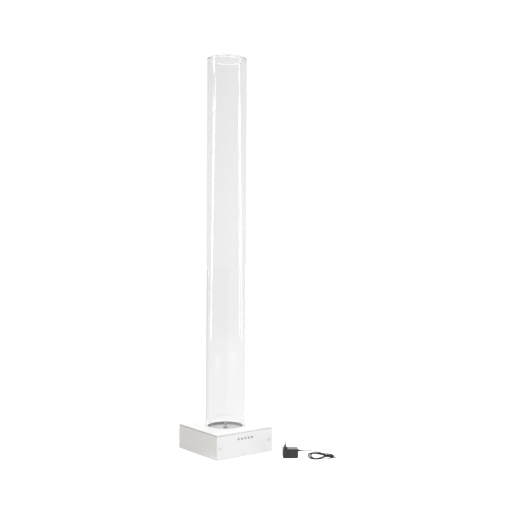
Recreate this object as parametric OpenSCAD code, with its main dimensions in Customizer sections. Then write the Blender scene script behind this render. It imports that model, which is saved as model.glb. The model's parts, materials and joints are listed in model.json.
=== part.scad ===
// Bubble tube floor lamp: a clear upright water tube on a square white base
// that holds the light ring, the air pump and the controls, with its plug-top
// power supply lying beside it. Millimetres, +Z up, the origin on the floor
// under the centre of the base, the five buttons on the -Y side.

/* [Tube] */
// Outside diameter of the clear tube
tube_od = 150; // [140:1:160]
// Wall thickness of the clear tube
tube_wall = 4; // [3:0.5:5]
// Height of the closed lamp above the floor
total_h = 1485; // [900:5:1800]
// Thickness of the lid's disc
lid_t = 4; // [3:0.5:6]
// Thickness of the clear plate that closes the tube's lower end
end_plate_t = 7; // [5:0.5:8]

/* [Base] */
// Width and depth of the square base
base_w = 256; // [250:1:300]
// Height of the base's top face above the floor
base_h = 96; // [96:1:120]
// Thickness of the side panels
panel_t = 9; // [8:0.5:9]
// Thickness of the top plate
top_t = 5; // [3:0.5:5]
// Shadow gap between the panels and the top plate
shadow_gap = 0.6; // [0.4:0.1:1.5]
// Radius of the base's outer upright corners
corner_r = 1.5; // [1:0.5:3]

/* [Controls] */
// Distance between neighbouring buttons
button_pitch = 15.5; // [12:0.5:18]
// Diameter of a button's cap
button_d = 6; // [5:0.5:7]
// How far a cap stands out of the front panel
button_proud = 1.5; // [1:0.5:3]
// Height of the row of buttons above the floor
button_z = 69; // [62:1:74]

/* [Light ring] */
// Number of light-emitting diodes under the clear plate
led_count = 12; // [6:1:16]
// Radius of the ring of diodes
led_ring_r = 44; // [32:1:56]

/* [Power supply] */
// Length of the adapter's case
adapter_l = 57; // [50:1:60]
// Depth of the adapter's case
adapter_d = 38; // [36:1:42]
// Height of the adapter's case as it lies
adapter_h = 34; // [32:1:38]
// Diameter of the low-voltage cord
cord_d = 2.5; // [2:0.1:3]

/* [Hidden] */

$fn = 96;
tube_r = tube_od / 2;
bore_r = tube_r - tube_wall;
half = base_w / 2;
inner = half - panel_t;
top_z = base_h - top_t;
foot_t = 3;
panel_z0 = 2;
panel_z1 = top_z - shadow_gap;
deck_t = 9;
deck_z = top_z - deck_t;
board_t = 8;
floor_z = foot_t + board_t;
post_w = 20;
post_c = inner - post_w / 2;
panel_screw_x = 112;
panel_screw_z = 45;
foot_c = 90;

// socket that carries the tube under the deck
socket_z0 = deck_z - 38;
socket_floor = socket_z0 + 4;
tube_z0 = socket_floor + 2.5;
lid_z = total_h - lid_t;
tube_z1 = lid_z - 0.2;

// what closes the tube's lower end
plate_z1 = base_h - 6.5;
collar_t = 1.4;
plate_z0 = plate_z1 - end_plate_t;
refl_z1 = plate_z0 - 0.3;
refl_z0 = refl_z1 - 2;
ledb_z1 = refl_z0 - 2.2;
ledb_z0 = ledb_z1 - 1.6;

// the pump's own axis, along X
pump_y = 58;
pump_z = 27.5;
jack_x = 60;
jack_z = 30;

// the power supply lies turned about Z, u to its right and v away from the front
supply_turn = -35.5;
supply_shift = -9.5;
ad_u0 = 211;
ad_v0 = -122.5;
ad_u1 = ad_u0 + adapter_l;
ad_v1 = ad_v0 + adapter_d;
ad_vc = (ad_v0 + ad_v1) / 2;
cover_z = adapter_h - 4;
nose_u = ad_u0 + 10;
nose_h = 8.5;
relief_z = 25;
relief_l = 22;

// route of the cord from the strain relief to the hank, in u, v, z
lead_route = [
    [ad_u1 + relief_l, ad_vc, relief_z], [298, -102.3, 24.6], [306, -97, 22.8], [313, -87, 19.9], [318.8, -73, 16.5],
    [324.5, -57.5, 12.8], [330.5, -44.5, 8.5], [338, -36.5, 4.6], [346, -34, 2], [354, -37, 1.3], [360.5, -46, 1.3],
    [365.5, -59, 1.3], [368.6, -73, 1.3], [370.8, -86.5, 1.6], [373.5, -99.5, 2.9]
];
// route of the cord's last bit, over the tie to the plug
tail_route = [
    [364, -103, 7.6], [370, -103, 9.9], [376, -102.8, 11.9], [380.5, -102.8, 12.2], [383.8, -103.4, 12.1],
    [386.3, -104.7, 11.8], [388, -107, 11.3]
];
// routes of the wires inside the base, in X, Y, Z
jack_wire = [[60, 104.9, 30], [61, 98, 28], [78, 90, 20], [98, 70, 16], [104, 30, 15], [104, -30, 15],
             [98, -75, 18], [78, -94, 34], [50, -99, 52], [41, -100, 57], [38, -102.9, 58]];
pump_wire = [[0, -102.9, 58], [0, -99, 56], [2, -95, 44], [6, -86, 24], [14, -70, 16], [28, -40, 15],
             [38, 0, 15], [42, 32, 16], [38, 54, 20], [27, 65, 27], [16.2, 65, 28]];
led_wire = [[20, -102.9, 58], [20, -99, 56], [21, -94, 44], [22, -78, 32], [22, -50, 30], [21, -24, 33],
            [19, -8, 43], [18, -2, 56], [18, 0, 68], [18, 0, ledb_z0 - 0.1]];
hose_up = concat([[0, 0, 64], [0, 0, 56]],
                 [for (a = [0:15:90]) [-20 + 20 * cos(a), 0, 47.5 - 20 * sin(a)]],
                 [[-28, 0, 27.5], [-34, 0, 27.5], [-41.5, 0, 27.5]]);
hose_low = concat([[-54.5, 0, 27.5], [-60, 0, 27.5]],
                  [for (a = [-90:-12:-270]) [-66 + 32 * cos(a), 32 + 32 * sin(a), 27.5]],
                  [[-58, 64, 27.5], [-50, 64, 27.5]]);

function unit(v) = v / norm(v);
function blend_pt(a, b, c, d, t) =
    0.5 * (2 * b + (c - a) * t + (2 * a - 5 * b + 4 * c - d) * t * t + (3 * b - a - 3 * c + d) * t * t * t);
function smooth_route(P, k) = concat(
    [for (i = [0:len(P) - 2], j = [0:k - 1])
        blend_pt(P[max(i - 1, 0)], P[i], P[i + 1], P[min(i + 2, len(P) - 1)], j / k)],
    [P[len(P) - 1]]);
function headings(P) = [for (i = [0:len(P) - 1]) unit(P[min(i + 1, len(P) - 1)] - P[max(i - 1, 0)])];
function carried(T, n, i) = i == len(T) ? [] :
    let (m = unit(n - (n * T[i]) * T[i])) concat([m], carried(T, m, i + 1));

// a round tube of radius r along the points of P; n0 is any direction across the first stretch
module swept(P, r, sides, n0) {
    T = headings(P);
    N = carried(T, n0, 0);
    n = len(P);
    pts = [for (i = [0:n - 1], j = [0:sides - 1])
        P[i] + r * (cos(360 * j / sides) * N[i] + sin(360 * j / sides) * cross(T[i], N[i]))];
    walls = [for (i = [0:n - 2], j = [0:sides - 1], h = [0, 1])
        let (a = i * sides + j, b = i * sides + (j + 1) % sides, c = a + sides, d = b + sides)
        h == 0 ? [a, c, b] : [b, c, d]];
    polyhedron(points = pts,
        faces = concat([[for (j = [0:sides - 1]) j]], walls, [[for (j = [sides - 1:-1:0]) (n - 1) * sides + j]]));
}

// rounded rectangle from corner a to corner b, as points
function round_rect(a, b, r, k = 6) = concat(
    [for (i = [0:k]) [b[0] - r + r * cos(90 * i / k), b[1] - r + r * sin(90 * i / k)]],
    [for (i = [0:k]) [a[0] + r - r * sin(90 * i / k), b[1] - r + r * cos(90 * i / k)]],
    [for (i = [0:k]) [a[0] + r - r * cos(90 * i / k), a[1] + r - r * sin(90 * i / k)]],
    [for (i = [0:k]) [b[0] - r + r * sin(90 * i / k), a[1] + r - r * cos(90 * i / k)]]);

module ring(ro, ri, h) {
    difference() {
        cylinder(r = ro, h = h);
        translate([0, 0, -1]) cylinder(r = ri, h = h + 2);
    }
}

// four places, one in each corner
module corners(c) {
    for (x = [-c, c], y = [-c, c]) translate([x, y, 0]) children();
}

// countersunk screw, its flat head at z = 0 and its shank below, with a cross recess
module screw(d, head_d, len) {
    head_h = (head_d - d) / 2;
    difference() {
        union() {
            translate([0, 0, -head_h]) cylinder(d1 = d, d2 = head_d, h = head_h);
            translate([0, 0, -len]) cylinder(d = d, h = len - head_h + 0.01);
        }
        translate([-head_d * 0.27, -d * 0.11, -head_h * 0.55]) cube([head_d * 0.54, d * 0.22, head_h]);
        translate([-d * 0.11, -head_d * 0.27, -head_h * 0.55]) cube([d * 0.22, head_d * 0.54, head_h]);
    }
}
// the hole for it
module screw_hole(d, head_d, len) {
    head_h = (head_d - d) / 2;
    translate([0, 0, -head_h - 0.1]) cylinder(d1 = d + 0.2, d2 = head_d + 0.4, h = head_h + 0.11);
    translate([0, 0, -len - 0.5]) cylinder(d = d + 0.2, h = len + 0.5);
    cylinder(d = head_d + 0.4, h = 2);
}

/* ---------- tube ---------- */

module tube() {
    color([0.92, 0.96, 0.98, 0.35])
    translate([0, 0, tube_z0]) ring(tube_r, bore_r, tube_z1 - tube_z0);
}

module lid() {
    color([0.92, 0.96, 0.98, 0.4]) {
        translate([0, 0, lid_z]) cylinder(r = tube_r, h = lid_t);
        translate([0, 0, lid_z - 3]) ring(bore_r - 0.4, bore_r - 3.4, 3.01);
    }
}

module end_plate() {
    color([0.92, 0.96, 0.98, 0.4])
    translate([0, 0, plate_z0]) ring(bore_r - 0.05, 4.2, end_plate_t);
}

module seal_ring() {
    color([0.16, 0.16, 0.17])
    translate([0, 0, plate_z1]) ring(bore_r - 0.05, bore_r - 2.5, base_h - collar_t - plate_z1);
}

// white trim that covers the seal, level with the base's top face
module collar_ring() {
    color([0.98, 0.98, 0.97])
    translate([0, 0, base_h - collar_t]) ring(bore_r - 0.05, bore_r - 3.1, collar_t);
}

// one under the tube and one under the nozzle's flange
module gaskets() {
    color([0.12, 0.12, 0.12]) {
        translate([0, 0, socket_floor]) ring(tube_r, tube_r - 8, 2.5);
        translate([0, 0, plate_z1]) ring(8.5, 4.1, 1);
    }
}

module tube_socket() {
    color([0.25, 0.26, 0.27]) {
        difference() {
            union() {
                translate([0, 0, deck_z - 6]) cylinder(r = tube_r + 21, h = 6);
                translate([0, 0, socket_z0]) cylinder(r = tube_r + 5, h = deck_z - socket_z0);
            }
            translate([0, 0, socket_floor]) cylinder(r = tube_r + 0.2, h = 60);
            translate([0, 0, socket_z0 - 1]) cylinder(r = 30, h = 8);
            for (a = [45:90:315]) rotate(a) translate([tube_r + 13, 0, deck_z - 7]) cylinder(r = 2.1, h = 8);
        }
        // pillars that carry the light board
        for (a = [90:120:330]) rotate(a) translate([54, 0, 0]) difference() {
            translate([0, 0, socket_floor - 0.01]) cylinder(r = 5, h = ledb_z0 - socket_floor + 0.01);
            translate([0, 0, ledb_z0 - 8]) cylinder(r = 1.3, h = 9);
        }
    }
}

module socket_screws() {
    for (a = [45:90:315]) rotate(a) translate([tube_r + 13, 0, deck_z - 6]) {
        cylinder(r = 2, h = 13);
        difference() {
            translate([0, 0, -2.6]) cylinder(r = 3.8, h = 2.6);
            translate([-2.2, -0.45, -3]) cube([4.4, 0.9, 1.6]);
            translate([-0.45, -2.2, -3]) cube([0.9, 4.4, 1.6]);
        }
    }
}

/* ---------- base ---------- */

module top_plate() {
    e = 1.2;
    color([0.98, 0.98, 0.97])
    difference() {
        hull() {
            for (i = [0:3]) translate([0, 0, base_h - e + e * sin(30 * i) - 0.01])
                linear_extrude(0.01)
                    polygon(round_rect([-half + e * (1 - cos(30 * i)), -half + e * (1 - cos(30 * i))],
                                       [half - e * (1 - cos(30 * i)), half - e * (1 - cos(30 * i))], corner_r));
            translate([0, 0, top_z]) linear_extrude(0.01) polygon(round_rect([-half, -half], [half, half], corner_r));
        }
        translate([0, 0, top_z - 1]) cylinder(r = tube_r + 0.3, h = top_t + 2);
    }
}

module deck_board() {
    color([0.86, 0.84, 0.8])
    difference() {
        translate([-inner + 0.2, -inner + 0.2, deck_z]) cube([2 * inner - 0.4, 2 * inner - 0.4, deck_t]);
        translate([0, 0, deck_z - 1]) cylinder(r = tube_r + 0.4, h = deck_t + 2);
        corners(post_c) translate([0, 0, top_z]) screw_hole(4, 8, 25);
        for (a = [45:90:315]) rotate(a) translate([tube_r + 13, 0, deck_z - 1]) cylinder(r = 2.05, h = 9);
    }
}

// the long panels overlap the short ones; s is -1 for the front and 1 for the rear
module long_panel(s) {
    pts = concat([[half, -inner]],
        [for (i = [0:6]) [half - corner_r + corner_r * cos(15 * i), -half + corner_r - corner_r * sin(15 * i)]],
        [for (i = [0:6]) [-half + corner_r - corner_r * sin(15 * i), -half + corner_r - corner_r * cos(15 * i)]],
        [[-half, -inner]]);
    mirror([0, s > 0 ? 1 : 0, 0]) translate([0, 0, panel_z0]) linear_extrude(panel_z1 - panel_z0) polygon(pts);
}

module front_panel() {
    color([0.97, 0.97, 0.97])
    difference() {
        long_panel(-1);
        for (i = [-2:2]) translate([i * button_pitch, -half - 1, button_z]) rotate([-90, 0, 0])
            cylinder(r = button_d / 2 + 0.3, h = panel_t + 2);
        for (x = [-panel_screw_x, panel_screw_x]) translate([x, -half, panel_screw_z]) rotate([90, 0, 0])
            screw_hole(3.5, 7, 24);
    }
}

module rear_panel() {
    color([0.97, 0.97, 0.97])
    difference() {
        long_panel(1);
        for (x = [-panel_screw_x, panel_screw_x]) translate([x, half, panel_screw_z]) rotate([-90, 0, 0])
            screw_hole(3.5, 7, 24);
        translate([jack_x, inner - 1, jack_z]) rotate([-90, 0, 0]) cylinder(r = 5.6, h = panel_t + 2);
        // air intake
        for (i = [0:6]) translate([-82 + i * 8, inner - 1, 24]) {
            cube([2.5, panel_t + 2, 24]);
            for (z = [0, 24]) translate([1.25, 0, z]) rotate([-90, 0, 0]) cylinder(r = 1.25, h = panel_t + 2);
        }
    }
}

module short_panel() {
    color([0.97, 0.97, 0.97])
    translate([-half, -inner + 0.15, panel_z0]) cube([panel_t, 2 * inner - 0.3, panel_z1 - panel_z0]);
}
module left_panel() { short_panel(); }
module right_panel() { mirror([1, 0, 0]) short_panel(); }

module bottom_board() {
    color([0.8, 0.78, 0.74])
    difference() {
        translate([-inner + 0.2, -inner + 0.2, foot_t]) cube([2 * inner - 0.4, 2 * inner - 0.4, board_t]);
        corners(post_c) translate([0, 0, foot_t]) mirror([0, 0, 1]) screw_hole(4, 8, 25);
        corners(foot_c) translate([0, 0, foot_t - 1]) cylinder(r = 1.6, h = 8.2);
        for (x = [-70, 70]) for (i = [0:4]) translate([x - 1.5, -60 + i * 8, foot_t - 1]) cube([3, 4, board_t + 2]);
    }
}

module corner_posts() {
    color([0.78, 0.66, 0.48])
    for (x = [-1, 1], y = [-1, 1]) scale([x, y, 1]) difference() {
        translate([inner - post_w, inner - post_w, floor_z]) cube([post_w - 0.2, post_w - 0.2, deck_z - floor_z]);
        translate([post_c, post_c, deck_z - 17]) cylinder(r = 2.05, h = 18);
        translate([post_c, post_c, floor_z - 1]) cylinder(r = 2.05, h = 19);
        translate([panel_screw_x, inner + 1, panel_screw_z]) rotate([90, 0, 0]) cylinder(r = 1.8, h = 17.5);
    }
}

// the same screw holds the deck and the bottom board to the posts, and four more hang the socket under the deck
module board_screws() {
    color([0.75, 0.72, 0.6]) {
        corners(post_c) {
            translate([0, 0, top_z]) screw(4, 8, 25);
            translate([0, 0, foot_t]) mirror([0, 0, 1]) screw(4, 8, 25);
        }
        socket_screws();
    }
}

module panel_screws() {
    color([0.93, 0.93, 0.93])
    for (x = [-panel_screw_x, panel_screw_x]) {
        translate([x, -half, panel_screw_z]) rotate([90, 0, 0]) screw(3.5, 7, 24);
        translate([x, half, panel_screw_z]) rotate([-90, 0, 0]) screw(3.5, 7, 24);
    }
}

module rubber_feet() {
    color([0.1, 0.1, 0.1])
    corners(foot_c) difference() {
        cylinder(r1 = 10.4, r2 = 11, h = foot_t);
        translate([0, 0, -1]) cylinder(r = 1.6, h = 6);
        translate([0, 0, -0.01]) cylinder(r = 3.4, h = 1.61);
    }
}

module foot_screws() {
    color([0.75, 0.72, 0.6])
    corners(foot_c) {
        difference() {
            translate([0, 0, 0.4]) cylinder(r = 3, h = 1.2);
            translate([-1.6, -0.35, 0]) cube([3.2, 0.7, 1]);
        }
        translate([0, 0, 1.5]) cylinder(r = 1.5, h = 8.3);
    }
}

/* ---------- light ---------- */

module reflector_plate() {
    color([0.78, 0.79, 0.8])
    translate([0, 0, refl_z0]) difference() {
        cylinder(r = bore_r - 0.5, h = 2);
        translate([0, 0, -1]) cylinder(r = 8.8, h = 4);
        for (i = [0:led_count - 1]) rotate(360 * i / led_count) translate([led_ring_r, 0, -1]) cylinder(r = 4, h = 4);
    }
}

module led_board() {
    color([0.93, 0.93, 0.9])
    translate([0, 0, ledb_z0]) difference() {
        union() {
            cylinder(r = 62, h = 1.6);
            for (i = [0:led_count - 1]) rotate(360 * i / led_count) translate([led_ring_r - 2.5, -2.5, 1.59]) cube([5, 5, 0.8]);
        }
        translate([0, 0, -1]) cylinder(r = 10, h = 4);
        for (a = [90:120:330]) rotate(a) translate([54, 0, -1]) cylinder(r = 1.6, h = 4);
    }
}

module led_lenses() {
    color([1, 1, 0.92])
    for (i = [0:led_count - 1]) rotate(360 * i / led_count) translate([led_ring_r, 0, ledb_z1 + 0.82]) {
        cylinder(r = 3.6, h = 1.3);
        translate([0, 0, 1.29]) intersection() {
            translate([0, 0, -3.7]) sphere(r = 5.1);
            cylinder(r = 3.6, h = 2);
        }
    }
}

module led_board_screws() {
    color([0.75, 0.76, 0.78])
    for (a = [90:120:330]) rotate(a) translate([54, 0, 0]) {
        translate([0, 0, ledb_z1]) cylinder(r = 2.6, h = refl_z0 - ledb_z1);
        translate([0, 0, ledb_z1 - 7]) cylinder(r = 1.25, h = 7.01);
    }
}

/* ---------- air ---------- */

module air_nozzle() {
    color([0.8, 0.81, 0.82])
    difference() {
        union() {
            translate([0, 0, 55]) cylinder(r1 = 2.4, r2 = 3.1, h = 9);
            translate([0, 0, 64]) cylinder(r = 4, h = plate_z1 + 1 - 64);
            translate([0, 0, plate_z1 + 1]) cylinder(r = 9, h = 1.8);
            translate([0, 0, plate_z1 + 2.8]) cylinder(r = 7.5, h = 2.4, $fn = 6);
            translate([0, 0, plate_z1 + 5.2]) cylinder(r = 5.5, h = 9);
            translate([0, 0, plate_z1 + 14.2]) cylinder(r1 = 5.5, r2 = 4.3, h = 1.2);
        }
        translate([0, 0, 50]) cylinder(r = 1.4, h = 70);
        for (i = [0:7]) rotate(45 * i) translate([3.4, 0, plate_z1 + 12]) cylinder(r = 0.5, h = 5);
    }
}

module nozzle_nut() {
    color([0.78, 0.72, 0.5])
    translate([0, 0, plate_z0 - 6]) difference() {
        cylinder(r = 8, h = 6, $fn = 6);
        translate([0, 0, -1]) cylinder(r = 4.05, h = 8);
    }
}

module check_valve() {
    color([0.9, 0.9, 0.88])
    translate([-34, 0, 27.5]) rotate([0, -90, 0]) {
        cylinder(r = 2.6, h = 8);
        translate([0, 0, 8]) cylinder(r = 7, h = 5);
        translate([0, 0, 13]) cylinder(r = 5, h = 2);
        translate([0, 0, 15]) cylinder(r = 7, h = 5);
        translate([0, 0, 20]) cylinder(r = 2.6, h = 8);
    }
}

module air_hoses() {
    color([0.85, 0.88, 0.86]) {
        swept(hose_up, 3.3, 10, [0, 1, 0]);
        swept(hose_low, 3.3, 10, [0, 0, 1]);
    }
}

module along_pump(x) { translate([x, pump_y, pump_z]) rotate([0, 90, 0]) children(); }

module pump_mount() {
    color([0.14, 0.14, 0.14])
    difference() {
        translate([-46, pump_y - 15, floor_z]) cube([64, 30, 6.5]);
        translate([-47, pump_y - 13.1, floor_z + 3.4]) cube([31.1, 26.2, 10]);
        along_pump(-17) cylinder(r = 12.3, h = 40);
    }
}

module pump_motor_can() {
    color([0.72, 0.73, 0.74])
    along_pump(-16) difference() {
        cylinder(r = 12.2, h = 32);
        translate([0, 0, 1]) cylinder(r = 11.2, h = 30);
        translate([0, 0, -1]) cylinder(r = 3.05, h = 34);
    }
}

module pump_magnets() {
    color([0.3, 0.3, 0.32])
    along_pump(-9) difference() {
        ring(11.1, 9.3, 18);
        translate([-12, -1.5, -1]) cube([24, 3, 20]);
    }
}

module pump_bushes() {
    color([0.75, 0.6, 0.35]) {
        along_pump(-18) ring(3, 1.2, 4);
        along_pump(12) ring(3, 1.2, 4);
    }
}

module pump_rotor() {
    color([0.55, 0.4, 0.3]) {
        along_pump(-28) cylinder(r = 1.15, h = 43);
        along_pump(-8) difference() {
            cylinder(r = 8.7, h = 16);
            for (a = [0:120:240]) rotate(a) translate([5, -0.9, -1]) cube([5, 1.8, 18]);
        }
        along_pump(-27) cylinder(r = 5, h = 7);
        along_pump(-30) translate([0, 2, 0]) cylinder(r = 1, h = 3.5);
    }
}

module pump_frame() {
    color([0.2, 0.2, 0.21])
    difference() {
        translate([-32, pump_y - 13, pump_z - 13]) cube([16, 26, 26]);
        along_pump(-33) cylinder(r = 10.5, h = 14);
        along_pump(-20) cylinder(r = 3.05, h = 6);
        for (y = [-10.7, 10.7], z = [-10.7, 10.7]) translate([-33, pump_y + y, pump_z + z])
            rotate([0, 90, 0]) cylinder(r = 1.05, h = 12);
    }
}

module pump_wobble_plate() {
    color([0.9, 0.9, 0.88])
    along_pump(-31.6) ring(9.5, 3.5, 2.6);
}

module pump_diaphragm() {
    color([0.15, 0.15, 0.15])
    difference() {
        translate([-34, pump_y - 13, pump_z - 13]) cube([2, 26, 26]);
        for (y = [-10.7, 10.7], z = [-10.7, 10.7]) translate([-35, pump_y + y, pump_z + z])
            rotate([0, 90, 0]) cylinder(r = 1.15, h = 4);
    }
}

module pump_head() {
    color([0.2, 0.2, 0.21]) {
        difference() {
            translate([-46, pump_y - 13, pump_z - 13]) cube([12, 26, 26]);
            for (y = [-10.7, 10.7], z = [-10.7, 10.7]) translate([-47, pump_y + y, pump_z + z])
                rotate([0, 90, 0]) cylinder(r = 1.15, h = 14);
        }
        for (y = [-6, 6]) translate([-58, pump_y + y, pump_z]) rotate([0, 90, 0]) {
            cylinder(r1 = 2.2, r2 = 2.8, h = 6);
            translate([0, 0, 6]) cylinder(r = 2.2, h = 6.01);
        }
    }
}

module pump_bolts() {
    color([0.75, 0.76, 0.78])
    for (y = [-10.7, 10.7], z = [-10.7, 10.7]) translate([-46, pump_y + y, pump_z + z]) rotate([0, 90, 0]) {
        cylinder(r = 1, h = 24);
        translate([0, 0, -1.4]) cylinder(r = 2, h = 1.4);
    }
}

module intake_filter() {
    color([0.9, 0.9, 0.88])
    translate([-70, pump_y - 6, pump_z]) rotate([0, 90, 0]) cylinder(r = 5, h = 12);
}

/* ---------- controls ---------- */

module control_board() {
    color([0.1, 0.42, 0.22])
    difference() {
        translate([-52, -107.6, 51]) cube([104, 1.6, 30]);
        for (x = [-47, 47], z = [55, 77]) translate([x, -109, z]) rotate([-90, 0, 0]) cylinder(r = 1.6, h = 4);
    }
    color([0.15, 0.15, 0.15])
    translate([-12, -106.01, 62]) cube([14, 2.2, 10]);
    color([0.95, 0.95, 0.92])
    for (x = [0, 20, 38]) translate([x - 4, -106.01, 55]) cube([8, 3.01, 6]);
}

module button_switches() {
    color([0.15, 0.15, 0.16])
    for (i = [-2:2]) translate([i * button_pitch - 3, -111.1, button_z - 3]) cube([6, 3.5, 6]);
}

module board_standoffs() {
    color([0.75, 0.76, 0.78])
    for (x = [-47, 47], z = [55, 77]) translate([x, -inner, z]) rotate([-90, 0, 0]) {
        cylinder(r = 3, h = inner - 107.6);
        translate([0, 0, 1]) cylinder(r = 1.5, h = inner - 104.5);
        translate([0, 0, inner - 106]) cylinder(r = 2.6, h = 1.6);
    }
}

// a cap in the panel's hole, its collar behind the panel and its stem on the switch
module button(i) {
    color([0.62, 0.63, 0.64])
    translate([i * button_pitch, 0, button_z]) rotate([-90, 0, 0]) {
        translate([0, 0, -half - button_proud]) cylinder(r1 = button_d / 2 - 0.5, r2 = button_d / 2, h = 0.5);
        translate([0, 0, -half - button_proud + 0.5]) cylinder(r = button_d / 2, h = panel_t + button_proud + 0.3);
        translate([0, 0, -inner + 0.3]) cylinder(r = button_d / 2 + 1.4, h = 1);
        translate([0, 0, -inner + 1.2]) cylinder(r = 1.6, h = inner - 1.2 - 112.3);
    }
}
module button_1() { button(-2); }
module button_2() { button(-1); }
module button_3() { button(0); }
module button_4() { button(1); }
module button_5() { button(2); }

module dc_jack() {
    color([0.12, 0.12, 0.12])
    translate([jack_x, 0, jack_z]) difference() {
        union() {
            translate([-7, 105, -6]) cube([14, inner - 105, 12]);
            translate([0, inner - 0.01, 0]) rotate([-90, 0, 0]) cylinder(r = 5.4, h = half + 1.5 - inner + 0.01);
        }
        translate([0, inner - 1, 0]) rotate([-90, 0, 0]) ring(2.85, 1, 20);
        translate([0, half + 0.5, 0]) rotate([-90, 0, 0]) cylinder(r = 2.85, h = 4);
    }
}

module jack_nut() {
    color([0.75, 0.76, 0.78])
    translate([jack_x, half, jack_z]) rotate([-90, 0, 0]) difference() {
        cylinder(r = 8, h = 1.5, $fn = 6);
        translate([0, 0, -1]) cylinder(r = 5.45, h = 4);
    }
}

module inner_wiring() {
    color([0.1, 0.1, 0.12]) {
        swept(smooth_route(jack_wire, 3), 1.4, 8, [0, 0, 1]);
        swept(smooth_route(pump_wire, 3), 1.4, 8, [1, 0, 0]);
        swept(smooth_route(led_wire, 3), 1.4, 8, [1, 0, 0]);
    }
}

/* ---------- power supply ---------- */

module at_supply() { rotate([0, 0, supply_turn]) translate([0, supply_shift, 0]) children(); }

// the case's outline in u and z, inset by e, its lower corners rounded
function case_outline(e, z1) = let (r = 6 - e) concat(
    [[ad_u0 + e, z1], [ad_u0 + e, e + r]],
    [for (i = [1:6]) [ad_u0 + e + r - r * cos(15 * i), e + r - r * sin(15 * i)]],
    [for (i = [0:5]) [ad_u1 - e - r + r * sin(15 * i), e + r - r * cos(15 * i)]],
    [[ad_u1 - e, e + r], [ad_u1 - e, z1]]);

module across_case(e, v0, v1, z1) {
    translate([0, v1, 0]) rotate([90, 0, 0]) linear_extrude(v1 - v0) polygon(case_outline(e, z1));
}

module adapter_case() {
    color([0.07, 0.07, 0.07])
    at_supply() difference() {
        hull() {
            across_case(0, ad_v0 + 1.5, ad_v1 - 1.5, cover_z);
            across_case(0.45, ad_v0 + 0.45, ad_v1 - 0.45, cover_z);
            across_case(1.5, ad_v0, ad_v1, cover_z);
        }
        across_case(2, ad_v0 + 2, ad_v1 - 2, cover_z + 1);
    }
}

module adapter_cover() {
    color([0.08, 0.08, 0.08])
    at_supply() difference() {
        union() {
            translate([0, 0, cover_z + 0.5]) linear_extrude(adapter_h - cover_z - 1.1)
                polygon(round_rect([ad_u0, ad_v0], [ad_u1, ad_v1], 1.5));
            translate([0, 0, adapter_h - 0.61]) linear_extrude(0.61)
                polygon(round_rect([ad_u0 + 0.5, ad_v0 + 0.5], [ad_u1 - 0.5, ad_v1 - 0.5], 1.5));
            translate([0, 0, cover_z]) linear_extrude(0.51)
                polygon(round_rect([ad_u0 + 0.6, ad_v0 + 0.6], [ad_u1 - 0.6, ad_v1 - 0.6], 1.5));
        }
        for (v = [-9.3, 9.3]) translate([nose_u, ad_vc + v, cover_z - 1]) cylinder(r = 1.6, h = 6);
    }
}

module adapter_board() {
    color([0.1, 0.42, 0.22])
    at_supply() {
        translate([ad_u0 + 4, ad_v0 + 4, 7]) cube([adapter_l - 8, adapter_d - 8, 1.6]);
        translate([ad_u0 + 20, ad_v0 + 9, 8.59]) cube([18, 16, 14]);
        translate([ad_u0 + 45, ad_v0 + 12, 8.59]) cylinder(r = 4, h = 13);
        translate([ad_u0 + 45, ad_v0 + 24, 8.59]) cylinder(r = 4, h = 10);
    }
}

module plug_head() {
    color([0.07, 0.07, 0.07])
    at_supply() difference() {
        union() {
            hull() {
                translate([0, 0, adapter_h]) linear_extrude(1.5)
                    polygon(round_rect([nose_u - 7.5, ad_vc - 17.5], [nose_u + 7.5, ad_vc + 17.5], 4));
                translate([0, 0, adapter_h + nose_h - 1]) linear_extrude(0.01)
                    polygon(round_rect([nose_u - 5, ad_vc - 15], [nose_u + 5, ad_vc + 15], 3.5));
                translate([0, 0, adapter_h + nose_h - 0.01]) linear_extrude(0.01)
                    polygon(round_rect([nose_u - 4, ad_vc - 14], [nose_u + 4, ad_vc + 14], 3));
            }
            for (v = [-9.3, 9.3]) translate([nose_u, ad_vc + v, adapter_h + nose_h - 0.5]) cylinder(r = 1.8, h = 10.5);
        }
        for (v = [-9.3, 9.3]) translate([nose_u, ad_vc + v, adapter_h - 1]) cylinder(r = 1.5, h = 30);
    }
}

module plug_pins() {
    color([0.8, 0.8, 0.78])
    at_supply() for (v = [-9.3, 9.3]) translate([nose_u, ad_vc + v, 0]) {
        translate([0, 0, cover_z - 5]) cylinder(r = 1.45, h = adapter_h + nose_h + 10.01 - cover_z + 5);
        translate([0, 0, adapter_h + nose_h + 10]) cylinder(r = 2, h = 7);
        translate([0, 0, adapter_h + nose_h + 17]) intersection() {
            sphere(r = 2);
            cylinder(r = 2.1, h = 3);
        }
    }
}

module cord_relief() {
    color([0.06, 0.06, 0.06])
    at_supply() translate([ad_u1, ad_vc, relief_z]) rotate([0, 90, 0]) {
        cylinder(r = 4.4, h = 3);
        for (i = [0:4]) translate([0, 0, 3 + i * 3.4]) {
            cylinder(r1 = 3.7 - i * 0.45, r2 = 3.5 - i * 0.45, h = 2.4);
            translate([0, 0, 2.39]) cylinder(r = 2.8 - i * 0.3, h = 1.02);
        }
        translate([0, 0, 20]) cylinder(r1 = 1.7, r2 = 1.5, h = relief_l - 20);
    }
}

module cord_lead() {
    color([0.06, 0.06, 0.06])
    at_supply() swept(smooth_route(lead_route, 2), cord_d / 2, 8, [0, 0, 1]);
}

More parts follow.
